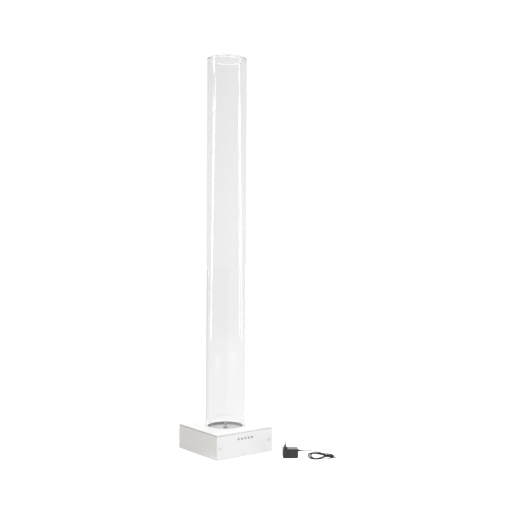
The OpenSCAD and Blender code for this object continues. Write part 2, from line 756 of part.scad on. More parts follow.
// the outer shape of the turns: the wide loops, the neck in the tie and the small loops beyond it
module cord_hank() {
    color([0.06, 0.06, 0.06])
    at_supply() {
        linear_extrude(9) hull() {
            translate([332, -80]) circle(r = 25, $fn = 48);
            translate([332, -118]) circle(r = 25, $fn = 48);
            translate([368, -104]) circle(r = 8, $fn = 48);
        }
        translate([368, -110, 1.2]) cube([20, 12, 8]);
        linear_extrude(5) hull() {
            translate([391, -101]) circle(r = 9, $fn = 48);
            translate([391, -112]) circle(r = 9, $fn = 48);
        }
    }
}

module cord_tail() {
    color([0.06, 0.06, 0.06])
    at_supply() swept(smooth_route(tail_route, 2), cord_d / 2, 8, [0, 0, 1]);
}

module cord_tie() {
    color([0.05, 0.05, 0.05])
    at_supply() difference() {
        translate([377.2, -112, 0]) cube([3.6, 16, 10.4]);
        translate([376, -110, 1.2]) cube([6, 12, 8]);
    }
}

// hollow power plug, its open metal sleeve away from the cord
module dc_plug() {
    color([0.06, 0.06, 0.06])
    at_supply() translate([388, -107, 11.3]) rotate([0, 99.5, -62]) {
        cylinder(r1 = 1.7, r2 = 2.8, h = 8);
        translate([0, 0, 7.99]) cylinder(r1 = 3.7, r2 = 4.2, h = 1.5);
        translate([0, 0, 9.48]) cylinder(r = 4.2, h = 14.52);
        translate([0, 0, 23.99]) difference() {
            cylinder(r = 2.75, h = 9.5);
            translate([0, 0, 1]) cylinder(r = 1.05, h = 10);
        }
    }
}

tube();
lid();
end_plate();
seal_ring();
collar_ring();
gaskets();
tube_socket();
top_plate();
deck_board();
front_panel();
rear_panel();
left_panel();
right_panel();
bottom_board();
corner_posts();
board_screws();
panel_screws();
rubber_feet();
foot_screws();
reflector_plate();
led_board();
led_lenses();
led_board_screws();
air_nozzle();
nozzle_nut();
check_valve();
air_hoses();
pump_mount();
pump_motor_can();
pump_magnets();
pump_bushes();
pump_rotor();
pump_frame();
pump_wobble_plate();
pump_diaphragm();
pump_head();
pump_bolts();
intake_filter();
control_board();
button_switches();
board_standoffs();
button_1();
button_2();
button_3();
button_4();
button_5();
dc_jack();
jack_nut();
inner_wiring();
adapter_case();
adapter_cover();
adapter_board();
plug_head();
plug_pins();
cord_relief();
cord_lead();
cord_hank();
cord_tail();
cord_tie();
dc_plug();
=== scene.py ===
import bpy, bmesh, json, math
from mathutils import Matrix, Vector


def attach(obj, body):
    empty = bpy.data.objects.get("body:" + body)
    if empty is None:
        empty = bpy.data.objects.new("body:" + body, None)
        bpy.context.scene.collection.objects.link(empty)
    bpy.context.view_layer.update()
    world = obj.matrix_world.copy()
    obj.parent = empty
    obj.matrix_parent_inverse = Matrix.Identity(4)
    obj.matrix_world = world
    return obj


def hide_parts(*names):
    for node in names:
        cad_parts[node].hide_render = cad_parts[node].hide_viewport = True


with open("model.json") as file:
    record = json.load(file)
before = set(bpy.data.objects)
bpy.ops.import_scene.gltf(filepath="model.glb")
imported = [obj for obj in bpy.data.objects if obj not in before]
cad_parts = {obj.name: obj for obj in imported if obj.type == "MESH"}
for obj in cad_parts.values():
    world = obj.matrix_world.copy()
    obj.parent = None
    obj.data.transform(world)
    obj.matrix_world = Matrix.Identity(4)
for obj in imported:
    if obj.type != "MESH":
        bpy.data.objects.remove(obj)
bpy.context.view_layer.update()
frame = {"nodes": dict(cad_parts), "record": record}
NODES = frame["nodes"]
MM = 0.001
scene = bpy.context.scene

# ------------------------------------------------------------------ camera

FOCAL = 803.276  # in pixels of the 515 pixel frame
RIGHT = Vector((0.79072, -0.61215, 0.00544))
UP = Vector((0.01039, 0.0223, 0.9997))
FORWARD = Vector((0.61209, 0.79042, -0.02399))


def make_camera():
    f = FORWARD.normalized()
    r = (RIGHT - RIGHT.dot(f) * f).normalized()
    u = r.cross(f)
    data = bpy.data.cameras.new("camera")
    data.sensor_width = 36.0
    data.lens = FOCAL / 515 * 36.0
    data.shift_y = 12.35 / 515
    data.clip_start, data.clip_end = 0.05, 100
    cam = bpy.data.objects.new("camera", data)
    cam.matrix_world = Matrix(((r.x, u.x, -f.x, -1.7756), (r.y, u.y, -f.y, -2.4881), (r.z, u.z, -f.z, 0.7623), (0, 0, 0, 1)))
    scene.collection.objects.link(cam)
    scene.camera = cam
    return cam


make_camera()

# ------------------------------------------------------------------ mesh tools


def crease(bm, sharp):
    """Marks sharp edges: those over an angle in degrees, and those where a large face meets a narrow rounding, so that the
    large face keeps its own normal."""
    for e in bm.edges:
        e.smooth = True
        if len(e.link_faces) != 2:
            continue
        angle = math.degrees(e.calc_face_angle(0))
        small, large = sorted(f.calc_area() for f in e.link_faces)
        if angle > sharp or (angle > 3 and large > 8 * small):
            e.smooth = False


def mesh_object(name, verts, faces, mats=(), sharp=35, indices=None):
    me = bpy.data.meshes.new(name)
    me.from_pydata([tuple(v) for v in verts], [], [tuple(f) for f in faces])
    me.validate()
    for m in mats:
        me.materials.append(m)
    if indices is not None:
        for p, i in zip(me.polygons, indices):
            p.material_index = i
    bm = bmesh.new()
    bm.from_mesh(me)
    bmesh.ops.recalc_face_normals(bm, faces=bm.faces)
    for f in bm.faces:
        f.smooth = True
    crease(bm, sharp)
    bm.to_mesh(me)
    bm.free()
    ob = bpy.data.objects.new(name, me)
    scene.collection.objects.link(ob)
    return ob


def fillet(pts, radii, k=4, closed=True):
    """Rounds the corners of a 2D outline. radii is one number or one for each corner."""
    n = len(pts)
    if not hasattr(radii, "__len__"):
        radii = [radii] * n
    out = []
    for i in range(n):
        p = Vector(pts[i])
        if radii[i] <= 0 or (not closed and i in (0, n - 1)):
            out.append(tuple(p))
            continue
        a, b = Vector(pts[i - 1]) - p, Vector(pts[(i + 1) % n]) - p
        la, lb = a.length, b.length
        a, b = a / la, b / lb
        ang = a.angle(b)
        if ang > math.radians(178):
            out.append(tuple(p))
            continue
        t = min(radii[i] / math.tan(ang / 2), 0.49 * la, 0.49 * lb)
        r = t * math.tan(ang / 2)
        c = p + (a + b).normalized() * (r / math.sin(ang / 2))
        s, e = p + a * t - c, p + b * t - c
        turn = math.atan2(s.x * e.y - s.y * e.x, s.dot(e))
        for j in range(k + 1):
            w = turn * j / k
            out.append((c.x + s.x * math.cos(w) - s.y * math.sin(w), c.y + s.x * math.sin(w) + s.y * math.cos(w)))
    return out


def lathe_parts(profile, seg, closed):
    """Vertices and faces of (r, z) points turned about Z. A closed profile is a ring's section; an open one runs from axis to axis."""
    verts, rows, faces = [], [], []
    for r, z in profile:
        if r < 1e-9:
            rows.append([len(verts)])
            verts.append((0.0, 0.0, z))
        else:
            rows.append(list(range(len(verts), len(verts) + seg)))
            verts += [(r * math.cos(2 * math.pi * j / seg), r * math.sin(2 * math.pi * j / seg), z) for j in range(seg)]
    n = len(rows)
    for i in range(n if closed else n - 1):
        a, b = rows[i], rows[(i + 1) % n]
        if len(a) == 1 and len(b) == 1:
            continue
        for j in range(seg):
            k = (j + 1) % seg
            if len(a) == 1:
                faces.append((a[0], b[k], b[j]))
            elif len(b) == 1:
                faces.append((a[j], a[k], b[0]))
            else:
                faces.append((a[j], a[k], b[k], b[j]))
    return verts, faces


def lathe(name, profile, seg=96, closed=False, at=None, mats=(), sharp=35):
    verts, faces = lathe_parts(profile, seg, closed)
    if at is not None:
        verts = [at @ Vector(v) for v in verts]
    return mesh_object(name, [Vector(v) * MM for v in verts], faces, mats, sharp)


def plate(name, outline, holes, thick, edge, at, mats=(), sharp=40, steps=3):
    """A flat plate with holes and rounded edges. outline and holes are lists of (x, y) in mm, the plate lies from z 0 to thick in the frame of at."""
    cu = bpy.data.curves.new(name, "CURVE")
    cu.dimensions = "2D"
    cu.fill_mode = "BOTH"
    cu.extrude = (thick / 2 - edge) * MM
    cu.bevel_depth = edge * MM
    cu.bevel_resolution = steps
    cu.offset = -edge * MM
    for loop in [outline] + list(holes):
        sp = cu.splines.new("POLY")
        sp.points.add(len(loop) - 1)
        for q, (x, y) in zip(sp.points, loop):
            q.co = (x * MM, y * MM, 0, 1)
        sp.use_cyclic_u = True
    tmp = bpy.data.objects.new(name + "_tmp", cu)
    scene.collection.objects.link(tmp)
    bpy.context.view_layer.update()
    me = bpy.data.meshes.new_from_object(tmp.evaluated_get(bpy.context.evaluated_depsgraph_get()))
    bpy.data.objects.remove(tmp)
    bpy.data.curves.remove(cu)
    me.name = name
    me.transform(at @ Matrix.Translation((0, 0, thick / 2 * MM)))
    bm = bmesh.new()
    bm.from_mesh(me)
    bmesh.ops.remove_doubles(bm, verts=bm.verts, dist=2e-6)
    bmesh.ops.recalc_face_normals(bm, faces=bm.faces)
    for f in bm.faces:
        f.smooth, f.material_index = True, 0
    bm.normal_update()
    crease(bm, sharp)
    bm.to_mesh(me)
    bm.free()
    me.materials.clear()
    for m in mats:
        me.materials.append(m)
    ob = bpy.data.objects.new(name, me)
    scene.collection.objects.link(ob)
    return ob


def circle(x, y, r, n=48):
    return [(x + r * math.cos(2 * math.pi * i / n), y + r * math.sin(2 * math.pi * i / n)) for i in range(n)]


def slot_hole(x, y0, y1, w, n=10):
    r = w / 2
    return [(x + r * math.cos(math.pi * i / n), y1 + r * math.sin(math.pi * i / n)) for i in range(n + 1)] + [
        (x - r * math.cos(math.pi * i / n), y0 - r * math.sin(math.pi * i / n)) for i in range(n + 1)]


def loft(name, loops, at, mats=(), sharp=35, cap=(True, True)):
    """Skins closed loops of equal length, each a list of (x, y, z) in mm."""
    n = len(loops[0])
    verts = [at @ (Vector(p) * MM) for lp in loops for p in lp]
    faces = []
    for i in range(len(loops) - 1):
        for j in range(n):
            k = (j + 1) % n
            faces.append((i * n + j, i * n + k, (i + 1) * n + k, (i + 1) * n + j))
    if cap[0]:
        faces.append(tuple(range(n)))
    if cap[1]:
        faces.append(tuple(range((len(loops) - 1) * n, len(loops) * n)))
    return mesh_object(name, verts, faces, mats, sharp)


def join(name, obs):
    """One object out of several, with all their materials."""
    me = bpy.data.meshes.new(name)
    bm = bmesh.new()
    mats = []
    for o in obs:
        for m in o.data.materials:
            if m not in mats:
                mats.append(m)
    for o in obs:
        start = len(bm.faces)
        bm.from_mesh(o.data)
        bm.faces.ensure_lookup_table()
        for f in bm.faces[start:]:
            f.material_index = mats.index(o.data.materials[f.material_index]) if o.data.materials else 0
    bm.to_mesh(me)
    bm.free()
    for m in mats:
        me.materials.append(m)
    for o in obs:
        bpy.data.objects.remove(o)
    ob = bpy.data.objects.new(name, me)
    scene.collection.objects.link(ob)
    return ob


def put(ob, body, slot, *nodes):
    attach(ob, body)
    if nodes:
        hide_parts(*nodes)
    return ob


# ------------------------------------------------------------------ the cord, first of all

TURN = math.radians(-35.5)
SUPPLY = Matrix.Rotation(TURN, 4, "Z") @ Matrix.Translation((0, -9.5 * MM, 0))
TURNED = Matrix.Rotation(TURN, 4, "Z") @ Matrix.Translation((0, -9.5, 0))  # the same in millimetres
CORD_D = 2.5

LEAD = [(290, -103.5, 25), (298, -102.3, 24.6), (306, -97, 22.8), (313, -87, 19.8), (318.6, -73.5, 16.2), (324, -58.5, 12.2),
        (330, -45.5, 8), (337.6, -37, 4.4), (346, -34, 1.8), (354, -37, 1.3), (360.5, -46, 1.3), (365.3, -59, 1.3),
        (368.3, -72, 1.3), (370, -82.5, 1.3), (371.7, -90.5, 1.7), (374.4, -96.8, 2.3)]
# the outermost track of the tied turns: far side of the neck, small loop, near side of the neck, wide loop
LOOP = [(374.7, -98.6), (378, -99.4), (381.5, -99.2), (385.3, -97.3), (389.5, -95.4), (394, -95.6), (397.8, -98.6),
        (399.8, -103.6), (400, -109.7), (397.5, -115.1), (392.8, -117.9), (387.9, -116.8), (384.6, -112.2), (381, -108.7),
        (377.5, -108.1), (374.2, -108.4), (370.6, -110.1), (366.2, -113.4), (361, -117.8), (353.5, -124.2), (345, -130.2),
        (336, -134.6), (327, -136.2), (319, -132.2), (313.6, -123.8), (311.2, -112.5), (310.5, -100), (310.5, -86),
        (311.8, -73), (315.2, -62), (321.4, -54), (329.5, -50.2), (338.5, -50.6), (347.3, -54.8), (355.6, -62),
        (362.8, -71.4), (368, -82), (371.3, -92)]
# the last turn, which the tie doesn't hold on its near side, and the end that comes back over the neck to the plug
LOOSE = [(375, -100.4, 7.6), (378, -100.9, 7.7), (381.5, -100.3, 7.5), (385.2, -97.8, 7.3), (388.6, -94.2, 6.8),
         (391.8, -91.5, 5.2), (395.6, -91.2, 2.9), (399.4, -93.6, 1.6), (401.9, -98.5, 1.3), (402.6, -104.8, 1.3),
         (402.2, -111.4, 1.3), (399.8, -118, 1.3), (394.8, -122.2, 1.3), (388.6, -124.8, 1.3), (383, -129.2, 1.3),
         (377, -133.2, 1.3), (369.5, -135.6, 1.3), (361, -136.6, 1.3), (352, -137, 1.3), (343, -138.8, 1.3),
         (333, -140.8, 1.3), (323, -139.6, 1.3), (314.6, -133.6, 1.3), (309.8, -123.5, 1.3), (307.8, -111.5, 1.3),
         (307.2, -98, 1.3), (307.4, -84, 1.3), (308.8, -71, 1.3), (312.4, -59.6, 1.3), (318.8, -51.2, 1.4), (327, -47, 2),
         (335.2, -48.4, 3.1), (342.5, -53.5, 3.9), (350, -60.5, 4.8), (357, -69.5, 6), (362.8, -80, 8.9), (367, -90.5, 11),
         (370.6, -98, 12), (375, -102, 12.2), (379.6, -102.9, 12.2), (383.6, -103.4, 12.1), (386.3, -104.7, 11.8), (388, -107, 11.3)]


def catmull(P, k, closed=False):
    P = [Vector(p) for p in P]
    n = len(P)
    out = []
    for i in range(n if closed else n - 1):
        if closed:
            a, b, c, d = (P[(i + j) % n] for j in (-1, 0, 1, 2))
        else:
            a, b, c, d = (P[min(max(i + j, 0), n - 1)] for j in (-1, 0, 1, 2))
        for j in range(k):
            t = j / k
            out.append(0.5 * (2 * b + (c - a) * t + (2 * a - 5 * b + 4 * c - d) * t * t + (3 * b - a - 3 * c + d) * t ** 3))
    if not closed:
        out.append(P[-1])
    return out


def ramp(a, b, x):
    return min(1, max(0, (x - a) / (b - a)))


def ease(a, b, x):
    t = ramp(a, b, x)
    return t * t * (3 - 2 * t)


def level(i):
    """Height of the lowest strand's middle at station i of LOOP: on the floor, or held up a little in the tie."""
    return 1.3 + 1.2 * (1 - ease(2, 4.2, i) + ease(10.8, 13, i) - ease(15, 17.5, i) + ease(34.5, 37.3, i))


def flat(i):
    """0 where the strands are stacked two by two in the tie and the small loops, 1 where they lie side by side."""
    return ease(15.6, 20.5, i) * (1 - ease(32.6, 37.6, i)) if i >= 15 else 0.0


def slot(k, i):
    """How far inside the outermost track strand k lies at station i, and how far above the lowest one."""
    g = flat(i)
    wide = 2.8 + 0.9 * ease(20, 24, i) * (1 - ease(27, 31, i))
    inner = 2.7 + (2 * wide - 2.7) * ramp(0, 0.45, g)

    def roll(f):
        return 2.62 * math.sin(f * math.pi / 2) + (wide - 2.62) * ramp(0.7, 1, f), 2.55 * math.cos(f * math.pi / 2)

    if k == 0:
        return 0.0, 0.0
    if k == 1:
        return roll(ramp(0.45, 1, g))
    if k == 2:
        return inner, 0.0
    if k == 3:
        off, up = roll(ramp(0.12, 0.75, g))
        return inner + off, up
    up = 1 - ease(0.12, 0.9, g)
    return 1.35 + (4 * wide - 1.35) * ease(0, 0.55, g), 5.05 * up + 0.5 * math.sin(math.pi * up)


def hank_route():
    """Four turns round LOOP, each going one place further in on its way back to the neck, so that none crosses another."""
    k = 5
    track = catmull(LOOP, k, True)
    m = len(track)
    normals = []
    for i in range(m):
        d = track[(i + 1) % m] - track[i - 1]
        normals.append(Vector((d.y, -d.x)).normalized())
    for _ in range(3):
        normals = [(normals[i - 1] + 2 * normals[i] + normals[(i + 1) % m]).normalized() for i in range(m)]
    pts = []
    for t in range(4):
        for j in range(m):
            i = j / k
            f = ease(28.5, 33.8, i)
            (o1, z1), (o2, z2) = slot(t, i), slot(t + 1, i)
            n = t + f
            loose = flat(i) * (0.17 * math.sin(0.9 * i + 2.1 * n) + 0.12 * math.sin(0.41 * i + 4 * n))
            q = track[j] + normals[j] * (o1 + (o2 - o1) * f + loose)
            pts.append(Vector((q.x, q.y, level(i) + z1 + (z2 - z1) * f)))
    return pts[k + 1:]


def thin_out(pts, step):
    out = [pts[0]]
    for p in pts[1:-1]:
        if (p - out[-1]).length >= step:
            out.append(p)
    out.append(pts[-1])
    return out


def cord_points():
    turns = hank_route()
    lead = catmull(LEAD + [tuple(turns[0])], 5)
    pts = thin_out(lead[:-1] + turns, 2.2) + thin_out(catmull(LOOSE, 4), 2.2)
    pts = [p for i, p in enumerate(pts) if i == 0 or (p - pts[i - 1]).length > 1.2]
    for _ in range(2):
        pts = [pts[0]] + [pts[i] * 0.5 + (pts[i - 1] + pts[i + 1]) * 0.25 for i in range(1, len(pts) - 1)] + [pts[-1]]
    return catmull(pts, 2)


CORD = cord_points()


def make_cord(mat):
    cu = bpy.data.curves.new("power_cord", "CURVE")
    cu.dimensions = "3D"
    cu.bevel_depth = CORD_D / 2 * MM
    cu.bevel_resolution = 3
    cu.use_fill_caps = True
    cu.twist_mode = "MINIMUM"
    sp = cu.splines.new("POLY")
    sp.points.add(len(CORD) - 1)
    for q, p in zip(sp.points, CORD):
        w = SUPPLY @ (p * MM)
        q.co = (w.x, w.y, w.z, 1)
    sp.use_smooth = True
    cu.materials.append(mat)
    ob = bpy.data.objects.new("power_cord", cu)
    scene.collection.objects.link(ob)
    return ob


# ------------------------------------------------------------------ materials


class Mat:
    """A small builder for a Principled material whose colour, roughness and bump come from nodes."""

    def __init__(self, name, color, rough=0.5, metal=0.0, spec=0.5, ior=1.5, coat=0.0, coat_rough=0.1, **more):
        self.m = bpy.data.materials.new(name)
        self.m.use_nodes = True
        self.t = self.m.node_tree
        self.b = next(n for n in self.t.nodes if n.type == "BSDF_PRINCIPLED")
        self.out = next(n for n in self.t.nodes if n.type == "OUTPUT_MATERIAL")
        i = self.b.inputs
        self.color = tuple(color[:3]) + (1.0,)
        i["Base Color"].default_value = self.color
        i["Roughness"].default_value = rough
        i["Metallic"].default_value = metal
        i["Specular IOR Level"].default_value = spec
        i["IOR"].default_value = ior
        i["Coat Weight"].default_value = coat
        i["Coat Roughness"].default_value = coat_rough
        for k, v in more.items():
            i[k.replace("_", " ")].default_value = v
        self.coord = self.t.nodes.new("ShaderNodeTexCoord").outputs["Object"]
        self.height = None

    def node(self, kind, **values):
        n = self.t.nodes.new("ShaderNode" + kind)
        for k, v in values.items():
            if hasattr(n, k):
                setattr(n, k, v)
            else:
                n.inputs[k.replace("_", " ")].default_value = v
        return n

    def link(self, a, b):
        self.t.links.new(a, b)
        return b.node

    def stretch(self, x, y, z):
        n = self.node("Mapping")
        n.inputs["Scale"].default_value = (x, y, z)
        self.link(self.coord, n.inputs["Vector"])
        return n.outputs["Vector"]

    def noise(self, scale, detail=3.0, rough=0.55, vector=None):
        n = self.node("TexNoise")
        n.inputs["Scale"].default_value = scale
        n.inputs["Detail"].default_value = detail
        n.inputs["Roughness"].default_value = rough
        self.link(vector if vector is not None else self.coord, n.inputs["Vector"])
        return n.outputs["Fac"]

    def spread(self, fac, lo, hi, a=0.35, b=0.65):
        n = self.node("MapRange")
        n.inputs["From Min"].default_value = a
        n.inputs["From Max"].default_value = b
        n.inputs["To Min"].default_value = lo
        n.inputs["To Max"].default_value = hi
        self.link(fac, n.inputs["Value"])
        return n.outputs["Result"]

    def vary_color(self, fac, dark, light, a=0.3, b=0.7):
        """Mixes two shades of the base colour by fac."""
        n = self.node("ValToRGB")
        n.color_ramp.elements[0].position = a
        n.color_ramp.elements[1].position = b
        n.color_ramp.elements[0].color = tuple(c * d for c, d in zip(self.color[:3], dark)) + (1,)
        n.color_ramp.elements[1].color = tuple(min(1.0, c * d) for c, d in zip(self.color[:3], light)) + (1,)
        self.link(fac, n.inputs["Fac"])
        self.link(n.outputs["Color"], self.b.inputs["Base Color"])
        return self

    def vary_rough(self, fac, lo, hi, a=0.35, b=0.65):
        self.link(self.spread(fac, lo, hi, a, b), self.b.inputs["Roughness"])
        return self

    def bump(self, fac, strength, distance):
        n = self.node("Bump")
        n.inputs["Strength"].default_value = strength
        n.inputs["Distance"].default_value = distance
        self.link(fac, n.inputs["Height"])
        if self.height is not None:
            self.link(self.height, n.inputs["Normal"])
        self.height = n.outputs["Normal"]
        self.link(self.height, self.b.inputs["Normal"])
        return self


def grey(d):
    return (d, d, d)


def lacquer(name, color=(0.86, 0.86, 0.855), rough=0.34):
    m = Mat(name, color, rough, coat=0.25, coat_rough=0.12)
    m.vary_color(m.noise(9, 4), grey(0.985), grey(1.01))
    m.vary_rough(m.noise(60, 4), rough - 0.05, rough + 0.07)
    m.bump(m.noise(420, 2), 0.05, 0.0002)
    m.bump(m.noise(2600, 2), 0.06, 0.00004)
    return m.m


def plastic(name, color, rough=0.45, grain=3200, strength=0.25, spread_=0.06, coat=0.0, coat_rough=0.1, **more):
    m = Mat(name, color, rough, coat=coat, coat_rough=coat_rough, **more)
    m.vary_color(m.noise(40, 3), grey(0.93), grey(1.06))
    m.vary_rough(m.noise(180, 3), rough - spread_, rough + spread_)
    m.bump(m.noise(grain, 2), strength, 0.00008)
    return m.m


def metal(name, color, rough=0.2, lines=None, strength=0.1):
    m = Mat(name, color, rough, metal=1.0)
    v = m.stretch(*lines) if lines else None
    m.vary_color(m.noise(60 if not lines else 400, 3, vector=v), grey(0.9), grey(1.05))
    m.vary_rough(m.noise(140 if not lines else 700, 3, vector=v), rough * 0.75, rough * 1.3)
    m.bump(m.noise(1800 if not lines else 1500, 2, vector=v), strength, 0.00003)
    return m.m


def rubber(name, color, rough=0.7, grain=1500, strength=0.3):
    m = Mat(name, color, rough, spec=0.35)
    m.vary_color(m.noise(120, 4), grey(0.85), grey(1.12))
    m.vary_rough(m.noise(300, 3), rough - 0.08, rough + 0.08)
    m.bump(m.noise(grain, 3), strength, 0.00008)
    return m.m


def fibreboard(name, color=(0.5, 0.36, 0.22)):
    m = Mat(name, color, 0.85, spec=0.2)
    m.vary_color(m.noise(900, 6, 0.7), grey(0.72), grey(1.2))
    m.vary_rough(m.noise(300, 3), 0.78, 0.92)
    m.bump(m.noise(1400, 5, 0.7), 0.5, 0.0002)
    return m.m


def softwood(name, color=(0.62, 0.42, 0.22)):
    m = Mat(name, color, 0.6, spec=0.3)
    v = m.stretch(1, 1, 0.06)
    w = m.node("TexWave")
    w.inputs["Scale"].default_value = 90
    w.inputs["Distortion"].default_value = 6
    w.inputs["Detail"].default_value = 3
    m.link(v, w.inputs["Vector"])
    m.vary_color(w.outputs["Fac"], (0.72, 0.66, 0.6), (1.1, 1.1, 1.08), 0.1, 0.9)
    m.vary_rough(m.noise(200, 4, vector=v), 0.5, 0.7)
    m.bump(m.noise(600, 5, vector=v), 0.25, 0.0002)
    return m.m


def acrylic(name, tint=(0.994, 0.996, 0.996), haze=0.012):
    m = Mat(name, tint, 0.0, ior=1.49, Transmission_Weight=1.0)
    m.vary_color(m.noise(6, 2), grey(0.995), grey(1.0))
    m.vary_rough(m.noise(30, 4, vector=m.stretch(1, 1, 0.12)), 0.0, haze, 0.45, 0.7)
    m.bump(m.noise(14, 1, vector=m.stretch(1, 1, 0.02)), 0.02, 0.0005)
    # light from the lamps goes straight through to what the glass holds
    path = m.node("LightPath")
    clear = m.node("BsdfTransparent")
    clear.inputs["Color"].default_value = (0.955, 0.956, 0.956, 1)
    mix = m.node("MixShader")
    m.link(path.outputs["Is Shadow Ray"], mix.inputs[0])
    m.link(m.b.outputs[0], mix.inputs[1])
    m.link(clear.outputs[0], mix.inputs[2])
    m.link(mix.outputs[0], m.out.inputs["Surface"])
    return m.m


MATS = {
    "clear_acrylic": acrylic("clear_acrylic_look"),
    # the seal bead is really there, but its dark grey is painted shade for the recess at the tube's foot
    "black_seal": rubber("seal_painted_shade_look", (0.24, 0.24, 0.243), 0.5, 900, 0.15),
    "grey_plastic": plastic("grey_plastic_look", (0.06, 0.062, 0.065), 0.5),
    "zinc_steel": metal("zinc_steel_look", (0.62, 0.63, 0.64), 0.28),
    "white_lacquer": lacquer("white_lacquer_look"),
    "white_paint": lacquer("white_paint_look", (0.8, 0.8, 0.79), 0.4),
    "raw_board": fibreboard("raw_board_look"),
    "post_wood": softwood("post_wood_look"),
    "foot_rubber": rubber("foot_rubber_look", (0.022, 0.022, 0.023), 0.75),
    "silver_plate": metal("silver_plate_look", (0.5, 0.505, 0.51), 0.42, None, 0.3),
    "white_board": plastic("white_board_look", (0.8, 0.8, 0.77), 0.4, 900, 0.1),
    "lens_plastic": plastic("lens_plastic_look", (0.78, 0.76, 0.62), 0.15, 600, 0.05, 0.03, 0.5),
    "nozzle_metal": metal("nozzle_metal_look", (0.78, 0.79, 0.8), 0.14),
    "brass_nut": metal("brass_nut_look", (0.72, 0.52, 0.24), 0.25),
    "pale_plastic": plastic("pale_plastic_look", (0.72, 0.72, 0.68), 0.4),
    "silicone_hose": rubber("silicone_hose_look", (0.6, 0.64, 0.62), 0.35, 700, 0.1),
    "magnet_grey": plastic("magnet_grey_look", (0.05, 0.05, 0.053), 0.6, 1500, 0.4),
    "rotor_metal": metal("rotor_metal_look", (0.6, 0.34, 0.2), 0.35, (1, 8, 8), 0.3),
    "black_plastic": plastic("black_plastic_look", (0.02, 0.02, 0.021), 0.45),
    "green_board": plastic("green_board_look", (0.01, 0.12, 0.04), 0.3, 700, 0.1, 0.05, 0.3),
    "grey_button": plastic("grey_button_look", (0.3, 0.305, 0.31), 0.4, 2500, 0.2),
    "adapter_black": plastic("adapter_black_look", (0.02, 0.02, 0.021), 0.4, 2600, 0.4, 0.06, 1.0, 0.17, Specular_IOR_Level=0.1, Sheen_Weight=0.45, Sheen_Roughness=0.35),
    "pin_metal": metal("pin_metal_look", (0.72, 0.7, 0.66), 0.2, (1, 1, 0.1), 0.12),
    "cord_black": rubber("cord_black_look", (0.02, 0.02, 0.021), 0.5, 1100, 0.18),
    "tie_black": plastic("tie_black_look", (0.018, 0.018, 0.019), 0.35, 1500, 0.15),
    "plug_black": plastic("plug_black_look", (0.02, 0.02, 0.021), 0.4, 2200, 0.3),
}

for row in frame["record"]["subparts"]:
    ob = NODES[row["node"]]
    ob.data.materials.clear()
    ob.data.materials.append(MATS[row["material_slot"]])
    for p in ob.data.polygons:
        p.material_index = 0

power_cord = make_cord(MATS["cord_black"])
put(power_cord, "power_supply", "cord_black", "cord_lead", "cord_hank", "cord_tail")

# ------------------------------------------------------------------ tube, lid and what closes its foot

WHITE = [MATS["white_lacquer"]]
CLEAR = [MATS["clear_acrylic"]]

tube = lathe("clear_tube", fillet([(71, 50.5), (75, 50.5), (75, 1480.8), (71, 1480.8)], [0.4, 0.4, 0.18, 0.18], 3), 224, True, mats=CLEAR)
put(tube, "base", "clear_acrylic", "tube")

lid_profile = fillet([(0, 1481), (67.2, 1481), (67.2, 1478), (70.6, 1478), (70.6, 1481), (75, 1481), (75, 1485), (0, 1485)],
                     [0, 0.15, 0.4, 0.3, 0.1, 0.2, 0.6, 0], 3, False)
lid = lathe("clear_lid", lid_profile, 224, False, mats=CLEAR)
put(lid, "lid", "clear_acrylic", "lid")

end_plate = lathe("clear_end_plate", fillet([(4.2, 82.5), (70.95, 82.5), (70.95, 89.5), (4.2, 89.5)], 0.3, 2), 160, True, mats=CLEAR)
put(end_plate, "base", "clear_acrylic", "end_plate")

# a seal bead at the tube's foot; its dark grey is painted shade standing for the shade in the recess there
bead = [(68.45, 89.5), (70.95, 89.5), (70.95, 94.6), (68.5, 94.6), (68.7, 93.6), (69.1, 92.0), (69.1, 91.0), (68.5, 90.0)]
seal = lathe("seal_bead_painted_shade", bead, 160, True, mats=[MATS["black_seal"]], sharp=50)
put(seal, "base", "black_seal", "seal_ring")

collar = lathe("collar_trim", fillet([(67.9, 94.6), (70.95, 94.6), (70.95, 96), (67.9, 96)], [0.2, 0.1, 0.3, 0.5], 3), 160, True, mats=WHITE)
put(collar, "base", "white_lacquer", "collar_ring")

holes = [circle(0, 0, 8.8)] + [circle(44 * math.cos(math.radians(30 * i)), 44 * math.sin(math.radians(30 * i)), 4, 32) for i in range(12)]
reflector = plate("reflector_disc", circle(0, 0, 70.5, 160), holes, 2.0, 0.3, Matrix.Translation((0, 0, 80.2 * MM)), [MATS["silver_plate"]])
put(reflector, "base", "silver_plate", "reflector_plate")


def make_nozzle():
    steel = [MATS["nozzle_metal"]]
    body = fillet([(1.4, 55), (2.4, 55), (3.1, 64), (4, 64), (4, 90.5), (9, 90.5), (9, 92.3), (5.5, 92.3), (5.5, 103.7), (4.3, 104.9), (1.4, 104.9)],
                  [0.1, 0.2, 0.1, 0.2, 0, 0.3, 0.6, 0.3, 0.5, 0.5, 0.3], 3)
    a = lathe("n1", body, 64, True, mats=steel)
    hexa = []
    for r, z in ((6.9, 92.3), (7.5, 92.6), (7.5, 94.4), (6.9, 94.7)):
        hexa.append([(r * math.cos(math.radians(60 * i)), r * math.sin(math.radians(60 * i)), z)
                     for i in range(6)])
    b = loft("n2", hexa, Matrix.Identity(4), steel, 20)
    rings = [lathe("n3_%d" % i, fillet([(5.45, z), (5.85, z), (5.85, z + 0.7), (5.45, z + 0.7)], 0.25, 2), 64, True, mats=steel)
             for i, z in enumerate((97.0, 100.4))]
    return join("air_nozzle_turned", [a, b] + rings)


nozzle = make_nozzle()
put(nozzle, "base", "nozzle_metal", "air_nozzle")

# ------------------------------------------------------------------ base


